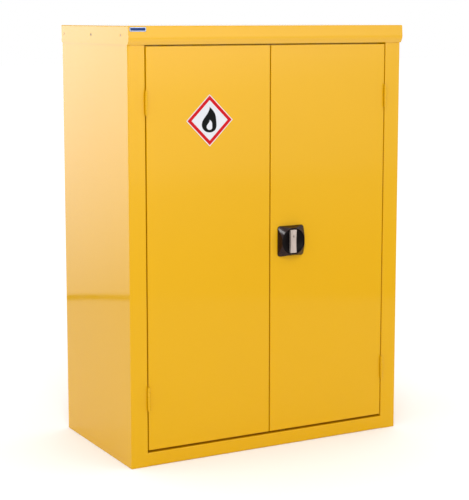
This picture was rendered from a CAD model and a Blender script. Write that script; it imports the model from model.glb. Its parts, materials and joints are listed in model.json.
"""Looks for the flammable storage cabinet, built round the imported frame. Metres."""
import json
import math

import bmesh
import bpy
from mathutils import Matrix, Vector


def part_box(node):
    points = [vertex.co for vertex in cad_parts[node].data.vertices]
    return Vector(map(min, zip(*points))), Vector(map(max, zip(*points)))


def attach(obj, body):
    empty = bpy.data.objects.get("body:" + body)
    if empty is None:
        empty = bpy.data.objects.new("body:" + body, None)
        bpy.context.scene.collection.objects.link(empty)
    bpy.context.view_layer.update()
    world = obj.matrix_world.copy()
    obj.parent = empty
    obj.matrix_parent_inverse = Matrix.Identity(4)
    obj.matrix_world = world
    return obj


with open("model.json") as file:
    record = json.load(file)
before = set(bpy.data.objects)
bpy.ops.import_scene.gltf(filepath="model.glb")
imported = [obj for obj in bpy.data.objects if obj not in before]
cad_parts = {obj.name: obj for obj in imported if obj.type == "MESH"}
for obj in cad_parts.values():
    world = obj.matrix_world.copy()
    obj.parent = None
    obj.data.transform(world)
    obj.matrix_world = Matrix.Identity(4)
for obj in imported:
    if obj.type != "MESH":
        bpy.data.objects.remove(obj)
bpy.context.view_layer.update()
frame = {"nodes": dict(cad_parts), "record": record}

record = frame["record"]
nodes = frame["nodes"]

# ---- Camera ----
CAMERA_AT = (-1.9733, -3.6371, 1.2243)
CAMERA_YAW = math.radians(28.55)
CAMERA_TILT = math.radians(7.87)
CAMERA_LENS = 102.1        # in millimetres, like the sensor
CAMERA_SENSOR = 36
CAMERA_SHIFT = -0.075
CAMERA_REACH = 100

# ---- Floor ----
FLOOR_REACH = 30
FLOOR_DROP = 0.0006        # under the cabinet's base
FLOOR_PALE = 0.94
FLOOR_ROUGH = 0.9

# ---- Lights ----
WORLD_STRENGTH = 1.0
KEY_AT = (-1.2, -2.2, 2.6)
KEY_TOWARD = (0, -0.1, 0.9)
KEY_WIDTH = 0.7
KEY_HEIGHT = 0.55
KEY_POWER = 21.5
SKY_HEIGHT = 6
SKY_SPREAD = math.radians(120)
SKY_STRENGTH = 0.5

# ---- Cards for the lid ----
LID_PAST_LEFT = 0.05       # past the lid's ends
LID_PAST_RIGHT = 0.4
LID_FADE = 0.44
LIP_GLOW = 4.2
LIP_DROP = 0.002           # under the lid's lowest edge
LIP_BEHIND = 0.0065        # behind and ahead of the lid's front
LIP_AHEAD = 0.05
LID_GLOW = 5.6
LID_AHEAD = 0.3            # ahead of the lid's front
LID_RISE = 0.055           # above the lid's top


def make_camera():
    """The camera looks in from the front left, a little downwards."""
    data = bpy.data.cameras.new("camera")
    data.lens = CAMERA_LENS
    data.sensor_width = CAMERA_SENSOR
    data.shift_y = CAMERA_SHIFT
    data.clip_end = CAMERA_REACH
    camera = bpy.data.objects.new("camera", data)
    camera.location = CAMERA_AT
    ahead = Vector((
        math.sin(CAMERA_YAW) * math.cos(CAMERA_TILT),
        math.cos(CAMERA_YAW) * math.cos(CAMERA_TILT),
        -math.sin(CAMERA_TILT),
    ))
    camera.rotation_euler = ahead.to_track_quat("-Z", "Y").to_euler()
    bpy.context.scene.collection.objects.link(camera)
    bpy.context.scene.camera = camera


# ---- Stage ----
def make_floor():
    """A pale floor that runs on past the view."""
    corners = ((-1, -1), (1, -1), (1, 1), (-1, 1))
    points = [(x * FLOOR_REACH, y * FLOOR_REACH, -FLOOR_DROP) for x, y in corners]
    mesh = bpy.data.meshes.new("floor")
    mesh.from_pydata(points, [], [(0, 1, 2, 3)])
    floor = bpy.data.objects.new("floor", mesh)
    bpy.context.scene.collection.objects.link(floor)
    material = bpy.data.materials.new("floor_pale")
    material.use_nodes = True
    shader = material.node_tree.nodes["Principled BSDF"]
    shader.inputs["Base Color"].default_value = (FLOOR_PALE, FLOOR_PALE, FLOOR_PALE, 1)
    shader.inputs["Roughness"].default_value = FLOOR_ROUGH
    shader.inputs["Specular IOR Level"].default_value = 0.0
    mesh.materials.append(material)


def make_surround():
    """An even white surround."""
    world = bpy.data.worlds.new("surround")
    world.use_nodes = True
    background = world.node_tree.nodes["Background"]
    background.inputs["Color"].default_value = (1, 1, 1, 1)
    background.inputs["Strength"].default_value = WORLD_STRENGTH
    bpy.context.scene.world = world


def key_light():
    """A rectangular soft light, high on the left and turned to the cabinet."""
    data = bpy.data.lights.new("key_soft", "AREA")
    data.shape = "RECTANGLE"
    data.size = KEY_WIDTH
    data.size_y = KEY_HEIGHT
    data.energy = KEY_POWER
    light = bpy.data.objects.new("key_soft", data)
    light.location = KEY_AT
    aim = Vector(KEY_TOWARD) - Vector(KEY_AT)
    light.rotation_euler = aim.to_track_quat("-Z", "Y").to_euler()
    light.visible_camera = False
    bpy.context.scene.collection.objects.link(light)


def sky_light():
    """Soft light from straight overhead, the same over the whole floor."""
    data = bpy.data.lights.new("sky_soft", "SUN")
    data.energy = SKY_STRENGTH
    data.angle = SKY_SPREAD
    light = bpy.data.objects.new("sky_soft", data)
    light.location = (0, 0, SKY_HEIGHT)
    bpy.context.scene.collection.objects.link(light)


def glowing_material(name):
    """Emission as strong as the mesh's glow layer."""
    material = bpy.data.materials.new(name)
    material.use_nodes = True
    tree = material.node_tree
    tree.nodes.clear()
    level = tree.nodes.new("ShaderNodeVertexColor")
    level.layer_name = "glow"
    shine = tree.nodes.new("ShaderNodeEmission")
    out = tree.nodes.new("ShaderNodeOutputMaterial")
    tree.links.new(level.outputs["Color"], shine.inputs["Strength"])
    tree.links.new(shine.outputs["Emission"], out.inputs["Surface"])
    return material


def reflector(name, rows, fade=0.0):
    """A card seen only in the gloss, whose rows are (one end, other end, glow).

    Its glow loses the share fade from the first end to the other.
    """
    points = []
    glows = []
    for start, end, glow in rows:
        points += [start, end]
        glows += [glow, glow * (1 - fade)]
    faces = [(i, i + 1, i + 3, i + 2) for i in range(0, len(points) - 2, 2)]
    mesh = bpy.data.meshes.new(name)
    mesh.from_pydata(points, [], faces)
    layer = mesh.color_attributes.new("glow", "FLOAT_COLOR", "POINT")
    for corner, glow in zip(layer.data, glows):
        corner.color = (glow, glow, glow, 1)
    card = bpy.data.objects.new(name, mesh)
    bpy.context.scene.collection.objects.link(card)
    mesh.materials.append(glowing_material(name))
    card.visible_camera = False
    card.visible_diffuse = False
    card.visible_shadow = False


def upright_card(name, foot, across, reach, levels, fade=0.0):
    """A standing card, reach metres to either side of its foot.

    Its levels are (height, glow) pairs from its lower edge to its upper one.
    """
    side = Vector((across[0], across[1], 0)).normalized() * reach
    rows = []
    for height, glow in levels:
        middle = Vector((foot[0], foot[1], height))
        rows.append((middle - side, middle + side, glow))
    reflector(name, rows, fade)


def left_card():
    """The pale wash on the left side panel, with a thin dark line low down."""
    levels = ((0.008, 0.1), (0.03, 0.1), (0.031, 1.3), (1.3, 4.4))
    upright_card("left_card", foot=(-1.256, 1.94), across=(0.868, 0.497), reach=2.0, levels=levels)


def front_card():
    """The fade down the doors and across them."""
    levels = ((0.03, 1.5), (0.34, 2.0), (0.61, 3.8), (1.14, 7.8), (1.3, 8.0))
    upright_card(
        "front_card", foot=(0.643, -2.16), across=(0.892, 0.451), reach=1.6, levels=levels, fade=0.757
    )


def lid_cards():
    """A level card close under the lid's front lip, and a low strip ahead of the lid's face."""
    low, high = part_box("top_cap")
    start, end = low.x - LID_PAST_LEFT, high.x + LID_PAST_RIGHT
    under = low.z - LIP_DROP
    ahead = low.y - LID_AHEAD
    lip_edges = ((low.y + LIP_BEHIND, under), (low.y - LIP_AHEAD, under))
    lid_edges = ((ahead, high.z), (ahead, high.z + LID_RISE))
    for name, edges, glow in (("lip_card", lip_edges, LIP_GLOW), ("lid_card", lid_edges, LID_GLOW)):
        reflector(name, [((start, y, z), (end, y, z), glow) for y, z in edges], LID_FADE)


def make_lights():
    """The surround, two soft lights, and a card for each shiny face to mirror."""
    make_surround()
    key_light()
    sky_light()
    left_card()
    front_card()
    lid_cards()


# ---- Materials ----
NOISE_LOW = 0.3            # nearly all of the noise lies between these two
NOISE_HIGH = 0.7
GLOSS_FINER = 6            # patches of gloss to a patch of colour, along a line
PAINT_IOR = 1.3
PAINT_DRIFT = 0.15         # the share by which the paint's roughness drifts either way


def new_material(name, metal=0.0, ior=None):
    """A node material, its tree and its shader, with what is the same all over it."""
    material = bpy.data.materials.new(name)
    material.use_nodes = True
    shader = material.node_tree.nodes["Principled BSDF"]
    shader.inputs["Metallic"].default_value = metal
    if ior is not None:
        shader.inputs["IOR"].default_value = ior
    return material, material.node_tree, shader


def object_noise(tree, scale, detail=2.0, stretch=(1, 1, 1)):
    """Noise fixed to the piece, with scale features per metre."""
    place = tree.nodes.new("ShaderNodeTexCoord")
    stretched = tree.nodes.new("ShaderNodeMapping")
    stretched.inputs["Scale"].default_value = stretch
    noise = tree.nodes.new("ShaderNodeTexNoise")
    noise.inputs["Scale"].default_value = scale
    noise.inputs["Detail"].default_value = detail
    tree.links.new(place.outputs["Object"], stretched.inputs["Vector"])
    tree.links.new(stretched.outputs["Vector"], noise.inputs["Vector"])
    return noise.outputs["Fac"]


def spread(tree, value, low, high):
    """Maps noise onto a range."""
    remap = tree.nodes.new("ShaderNodeMapRange")
    remap.inputs["From Min"].default_value = NOISE_LOW
    remap.inputs["From Max"].default_value = NOISE_HIGH
    remap.inputs["To Min"].default_value = low
    remap.inputs["To Max"].default_value = high
    tree.links.new(value, remap.inputs["Value"])
    return remap.outputs["Result"]


def tint(tree, value, dark, light):
    """A colour between two, by a value from 0 to 1."""
    mix = tree.nodes.new("ShaderNodeMix")
    mix.data_type = "RGBA"
    mix.inputs["A"].default_value = (*dark, 1)
    mix.inputs["B"].default_value = (*light, 1)
    tree.links.new(value, mix.inputs["Factor"])
    return mix.outputs["Result"]


def bump(tree, height, distance, before=None):
    """Bends the surface by a height field that is distance metres deep, over an earlier bump."""
    node = tree.nodes.new("ShaderNodeBump")
    node.inputs["Distance"].default_value = distance
    tree.links.new(height, node.inputs["Height"])
    if before is not None:
        tree.links.new(before, node.inputs["Normal"])
    return node.outputs["Normal"]


def mottled(name, dark, light, rough, grain, depth, metal=0.0, ior=None, patch=8.0, stretch=(1, 1, 1)):
    """A finish whose colour and gloss drift in patches, with a fine grain.

    dark and light are its two colours, rough the range of its roughness, grain the grain's
    features per metre, depth the grain's depth in metres and patch the patches per metre.
    """
    material, tree, shader = new_material(name, metal, ior)
    drift = spread(tree, object_noise(tree, patch, 3.0, stretch), 0, 1)
    tree.links.new(tint(tree, drift, dark, light), shader.inputs["Base Color"])
    gloss = spread(tree, object_noise(tree, patch * GLOSS_FINER, 2.0, stretch), *rough)
    tree.links.new(gloss, shader.inputs["Roughness"])
    fine = bump(tree, object_noise(tree, grain, 2.0, stretch), depth)
    tree.links.new(fine, shader.inputs["Normal"])
    return material


def powder_coat(name, dark, light, rough):
    """Smooth powder coat on thin sheet: slight clouds, fine orange peel and a slow waviness."""
    material, tree, shader = new_material(name, ior=PAINT_IOR)
    cloud = spread(tree, object_noise(tree, scale=1.7, detail=3.0), 0, 1)
    tree.links.new(tint(tree, cloud, dark, light), shader.inputs["Base Color"])
    drift = object_noise(tree, scale=14, detail=3.0)
    gloss = spread(tree, drift, rough * (1 - PAINT_DRIFT), rough * (1 + PAINT_DRIFT))
    tree.links.new(gloss, shader.inputs["Roughness"])
    wave = bump(tree, object_noise(tree, scale=2.2, detail=0.0), distance=0.0012)
    peel = bump(tree, object_noise(tree, scale=420, detail=2.0), distance=0.00001, before=wave)
    tree.links.new(peel, shader.inputs["Normal"])
    return material


def make_paints():
    """The powder coat outside, and the more satin one inside."""
    return {
        "yellow_paint": powder_coat(
            "yellow_powder_coat", dark=(0.672, 0.362, 0.002), light=(0.69, 0.371, 0.003), rough=0.065
        ),
        "inner_paint": powder_coat(
            "inner_powder_coat", dark=(0.64, 0.345, 0.004), light=(0.66, 0.357, 0.005), rough=0.3
        ),
    }


def make_metals():
    """Screws and fittings."""
    return {
        "dark_screw": mottled(
            "black_oxide", dark=(0.018, 0.016, 0.015), light=(0.035, 0.03, 0.027),
            rough=(0.35, 0.5), grain=2500, depth=0.00002, metal=0.6,
        ),
        "worn_screw": mottled(
            "worn_screw_paint", dark=(0.42, 0.23, 0.05), light=(0.48, 0.27, 0.07),
            rough=(0.35, 0.5), grain=1500, depth=0.00002, patch=60,
        ),
        "zinc": mottled(
            "zinc_plate", dark=(0.34, 0.335, 0.32), light=(0.48, 0.47, 0.45),
            rough=(0.28, 0.42), grain=900, depth=0.00001, metal=0.95, patch=60,
        ),
        "grip_metal": mottled(
            "satin_die_cast", dark=(0.37, 0.305, 0.265), light=(0.45, 0.37, 0.33),
            rough=(0.30, 0.42), grain=3000, depth=0.00002, metal=0.25, patch=90, stretch=(1, 1, 0.3),
        ),
    }


def make_plastics():
    """Badge and label films, the lock's plastics, the buffers' rubber and the nylon fittings."""
    return {
        "badge_blue": mottled(
            "badge_film", dark=(0.012, 0.035, 0.14), light=(0.017, 0.045, 0.17),
            rough=(0.25, 0.33), grain=700, depth=0.000005, ior=1.15, patch=30,
        ),
        "label_white": mottled(
            "label_vinyl", dark=(0.61, 0.61, 0.65), light=(0.65, 0.65, 0.69),
            rough=(0.35, 0.45), grain=800, depth=0.000005, ior=1.2, patch=30,
        ),
        "catch_plastic": mottled(
            "catch_nylon", dark=(0.03, 0.028, 0.027), light=(0.045, 0.042, 0.04),
            rough=(0.45, 0.6), grain=1500, depth=0.00003, patch=40,
        ),
        "buffer_rubber": mottled(
            "buffer_rubber", dark=(0.012, 0.012, 0.012), light=(0.022, 0.022, 0.021),
            rough=(0.75, 0.9), grain=1800, depth=0.00004, patch=50,
        ),
        "lock_plastic": mottled(
            "lock_plastic", dark=(0.012, 0.003, 0.002), light=(0.017, 0.004, 0.003),
            rough=(0.14, 0.18), grain=1600, depth=0.000004, ior=1.32, patch=25,
        ),
        "dish_plastic": mottled(
            "dish_plastic", dark=(0.004, 0.003, 0.003), light=(0.006, 0.004, 0.004),
            rough=(0.2, 0.28), grain=1600, depth=0.000006, ior=1.12, patch=25,
        ),
        "guide_plastic": mottled(
            "guide_nylon", dark=(0.68, 0.66, 0.60), light=(0.75, 0.73, 0.67),
            rough=(0.4, 0.55), grain=1200, depth=0.00002, patch=40,
        ),
    }


def make_inks():
    """The printed colours on the label and the badge."""
    return {
        "red": mottled(
            "red_ink", dark=(0.49, 0.003, 0.008), light=(0.53, 0.004, 0.011),
            rough=(0.4, 0.5), grain=800, depth=0.000005, ior=1.13, patch=30,
        ),
        "black": mottled(
            "black_ink", dark=(0.003, 0.003, 0.003), light=(0.005, 0.005, 0.005),
            rough=(0.4, 0.5), grain=800, depth=0.000005, ior=1.13, patch=30,
        ),
        "pale": mottled(
            "pale_ink", dark=(0.62, 0.72, 0.92), light=(0.70, 0.79, 0.95),
            rough=(0.25, 0.35), grain=700, depth=0.000005, patch=30,
        ),
    }


# Nodes that differ from the rest of their slot.
VARIANTS = {
    "handle_dish": "dish_plastic",
    "cap_corner_screws": "worn_screw",
    "back_panel": "inner_paint",
}


def dress_nodes():
    """Gives each CAD node the material of its slot, or its own variant."""
    materials = {**make_paints(), **make_metals(), **make_plastics()}
    for part in record["subparts"]:
        name = part["node"]
        finish = VARIANTS.get(name, part["material_slot"])
        for place in nodes[name].material_slots:
            place.material = materials[finish]


# ---- Printed layers ----
PRINT_THICK = 0.00012
PRINT_ROUND = 24           # steps down one side of a tongue of flame
CORNER_STEPS = 6           # steps round a printed corner


def print_layer(name, outline, inner, origin, right, up, body, material):
    """A thin closed print on a flat face, with an inner outline cut out of it.

    The outlines are lists of (across, up) offsets from origin, with as many points in each.
    """
    facing = right.cross(up).normalized()
    made = bmesh.new()

    def ring(points, lift):
        return [made.verts.new(origin + right * a + up * b + facing * lift) for a, b in points]

    low, high = ring(outline, 0), ring(outline, PRINT_THICK)
    in_low, in_high = ring(inner, 0), ring(inner, PRINT_THICK)
    count = len(outline)
    for i in range(count):
        j = (i + 1) % count
        made.faces.new((low[i], low[j], high[j], high[i]))
        made.faces.new((in_low[j], in_low[i], in_high[i], in_high[j]))
        made.faces.new((high[i], high[j], in_high[j], in_high[i]))
        made.faces.new((low[j], low[i], in_low[i], in_low[j]))
    bmesh.ops.recalc_face_normals(made, faces=made.faces)
    mesh = bpy.data.meshes.new(name)
    made.to_mesh(mesh)
    made.free()
    mesh.materials.append(material)
    piece = bpy.data.objects.new(name, mesh)
    bpy.context.scene.collection.objects.link(piece)
    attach(piece, body)


def rounded_corner(centre, corner, start):
    """The points of a quarter turn round centre, from an angle in degrees on."""
    angles = [math.radians(start + 90 * step / CORNER_STEPS) for step in range(CORNER_STEPS + 1)]
    return [(centre[0] + corner * math.cos(angle), centre[1] + corner * math.sin(angle)) for angle in angles]


def diamond(half, corner):
    """A square on its corner, half metres from its middle to its tip, with rounded corners."""
    points = []
    middle = half - corner * math.sqrt(2)
    for turn in range(4):
        heading = math.radians(90 * turn)
        centre = (middle * math.cos(heading), middle * math.sin(heading))
        points += rounded_corner(centre, corner, 90 * turn - 45)
    return points


def rounded_bar(width, height, corner):
    """A rectangle with rounded corners, about its middle."""
    points = []
    for turn, (sx, sy) in enumerate(((1, 1), (-1, 1), (-1, -1), (1, -1))):
        centre = (sx * (width / 2 - corner), sy * (height / 2 - corner))
        points += rounded_corner(centre, corner, 90 * turn)
    return points


def tongue(width, height, lean, lift=0.0):
    """A plain tongue of flame: round below, drawn in to a tip above, with a lean that sways.

    It is centred lift metres above the print's origin.
    """
    taper = 1.3
    points = []
    for step in range(2 * PRINT_ROUND):
        angle = math.pi * step / PRINT_ROUND
        rise = math.cos(angle)
        pinch = math.sin(angle / 2) ** taper
        sway = lean * math.sin(math.pi * rise) * (1 + rise) / 2
        points.append((width / 2 * math.sin(angle) * pinch + sway, height / 2 * rise + lift))
    return points


def make_label_print(inks):
    """A red band inside the label's white edge, and one plain tongue of flame in the white field."""
    low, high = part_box("label_plate")
    tip = (high.z - low.z) / 2
    face = Vector(((low.x + high.x) / 2, low.y, (low.z + high.z) / 2))
    right, up = Vector((1, 0, 0)), Vector((0, 0, 1))
    edge = 0.0026              # the white edge and the red band, along the diagonal
    band = 0.0124
    flame_rise = 0.002
    outside = diamond(tip - edge, corner=0.0012)
    inside = diamond(tip - edge - band, corner=0.0004)
    print_layer("label_red_band", outside, inside, face, right, up, "left_door", inks["red"])
    flame = tongue(width=0.062, height=0.070, lean=0.006)
    heart = tongue(width=0.024, height=0.028, lean=0.003, lift=-0.014)
    flame_at = face + up * flame_rise
    print_layer("label_flame", flame, heart, flame_at, right, up, "left_door", inks["black"])


def make_badge_print(inks):
    """A pale rim printed round the blank blue badge, on its leaning face."""
    badge = nodes["badge"].data
    face = max(badge.polygons, key=lambda polygon: polygon.area)
    out = face.normal.normalized()
    right = Vector((1, 0, 0))
    up = out.cross(right)
    low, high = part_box("badge")
    middle = (low + high) / 2
    lift = (face.center - middle).dot(out)
    margin = 0.0007
    rim = 0.0013
    leaning = 0.0001           # what the leaning plate's thickness adds to its height
    width = high.x - low.x - 2 * margin
    height = (high.z - low.z) / up.z - leaning - 2 * margin
    outside = rounded_bar(width, height, corner=0.0024)
    inside = rounded_bar(width - 2 * rim, height - 2 * rim, corner=0.0012)
    at = middle + out * lift
    print_layer("badge_rim", outside, inside, at, right, up, "carcass", inks["pale"])


make_camera()
make_floor()
make_lights()
dress_nodes()
inks = make_inks()
make_label_print(inks)
make_badge_print(inks)

bpy.context.scene.view_settings.view_transform = "Standard"
